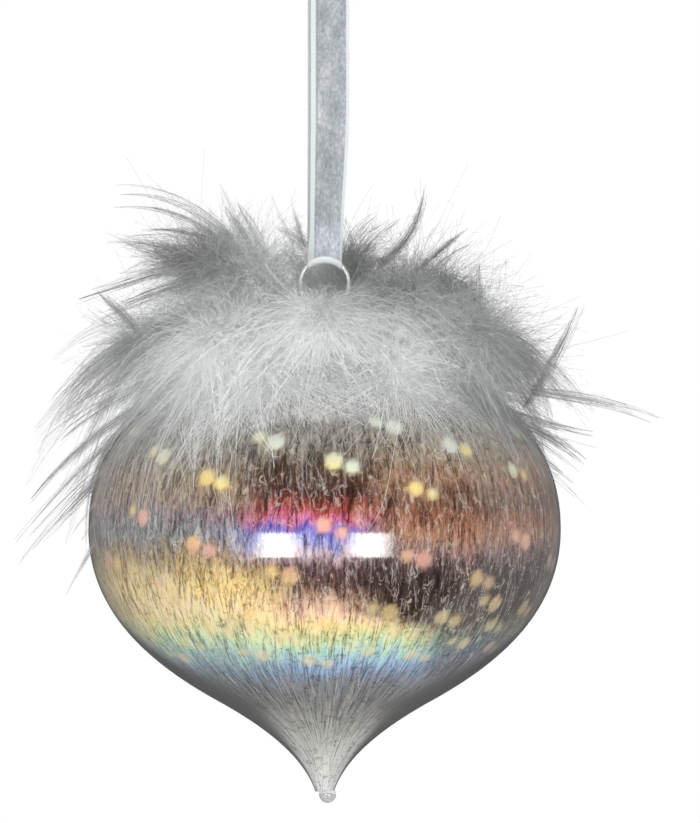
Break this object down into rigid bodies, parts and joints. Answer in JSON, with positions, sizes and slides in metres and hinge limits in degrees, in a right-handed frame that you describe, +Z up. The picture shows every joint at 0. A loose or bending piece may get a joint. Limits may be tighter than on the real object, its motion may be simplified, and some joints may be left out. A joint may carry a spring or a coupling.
{
  "type": "glass drop ornament",
  "caption": "Onion-shaped clear iridescent glass bauble with beads inside, a wire ring hanger, a collar of soft plumes and a ribbon to hang it by.",
  "frame": {"origin": "the hanging point, inside the top of the ribbon's eye", "axes": "+Z up along the ornament's axis, X along the ribbon's width and in the plane of the wire ring, front at -Y"},
  "size_m": [0.1008, 0.088, 0.157],
  "materials": {
    "ribbon": "satin",
    "wire": "polished",
    "cap": "polished",
    "plume": "matte",
    "core": "matte",
    "glass": "gloss",
    "tip": "gloss",
    "bead": "gloss"
  },
  "bodies": {
    "ribbon": {"ribbon_eye": "ribbon", "ribbon_knot": "ribbon", "ribbon_front_upper": "ribbon", "ribbon_back_upper": "ribbon"},
    "ribbon_lower": {"ribbon_front_lower": "ribbon", "ribbon_back_lower": "ribbon"},
    "ribbon_fold": {"ribbon_fold": "ribbon"},
    "hanger": {"hanger_wire": "wire", "cap_crown": "cap", "plume_core": "core", "plume_low_1": "plume", "plume_low_2": "plume", "plume_low_3": "plume", "plume_low_4": "plume", "plume_low_5": "plume", "plume_low_6": "plume", "plume_low_7": "plume", "plume_low_8": "plume", "plume_mid_1": "plume", "plume_mid_2": "plume", "plume_mid_3": "plume", "plume_mid_4": "plume", "plume_mid_5": "plume", "plume_mid_6": "plume", "plume_mid_7": "plume", "plume_mid_8": "plume", "plume_top_1": "plume", "plume_top_2": "plume", "plume_top_3": "plume", "plume_top_4": "plume", "plume_top_5": "plume", "plume_top_6": "plume", "plume_top_7": "plume"},
    "globe": {"glass_shell": "glass", "tip_bead": "tip", "beads_upper": "bead", "beads_middle": "bead", "beads_lower": "bead"}
  },
  "joints": [
    {"name": "ribbon_twist", "type": "hinge", "parent": "ribbon", "child": "ribbon_lower", "pos_m": [0, 0, -0.04], "axis": [0, 0, 1], "range_deg": [-180, 180], "stiffness_Nm_per_rad": 0.0001},
    {"name": "ornament_swing", "type": "hinge", "parent": "ribbon_lower", "child": "ribbon_fold", "pos_m": [0, 0, -0.0643], "axis": [1, 0, 0], "range_deg": [-25, 25]},
    {"name": "ring_rock", "type": "hinge", "parent": "ribbon_fold", "child": "hanger", "pos_m": [0, 0, -0.0684], "axis": [0, 1, 0], "range_deg": [-20, 20]},
    {"name": "globe_pull_off", "type": "slide", "parent": "hanger", "child": "globe", "axis": [0, 0, -1], "range_m": [0, 0.03]}
  ]
}
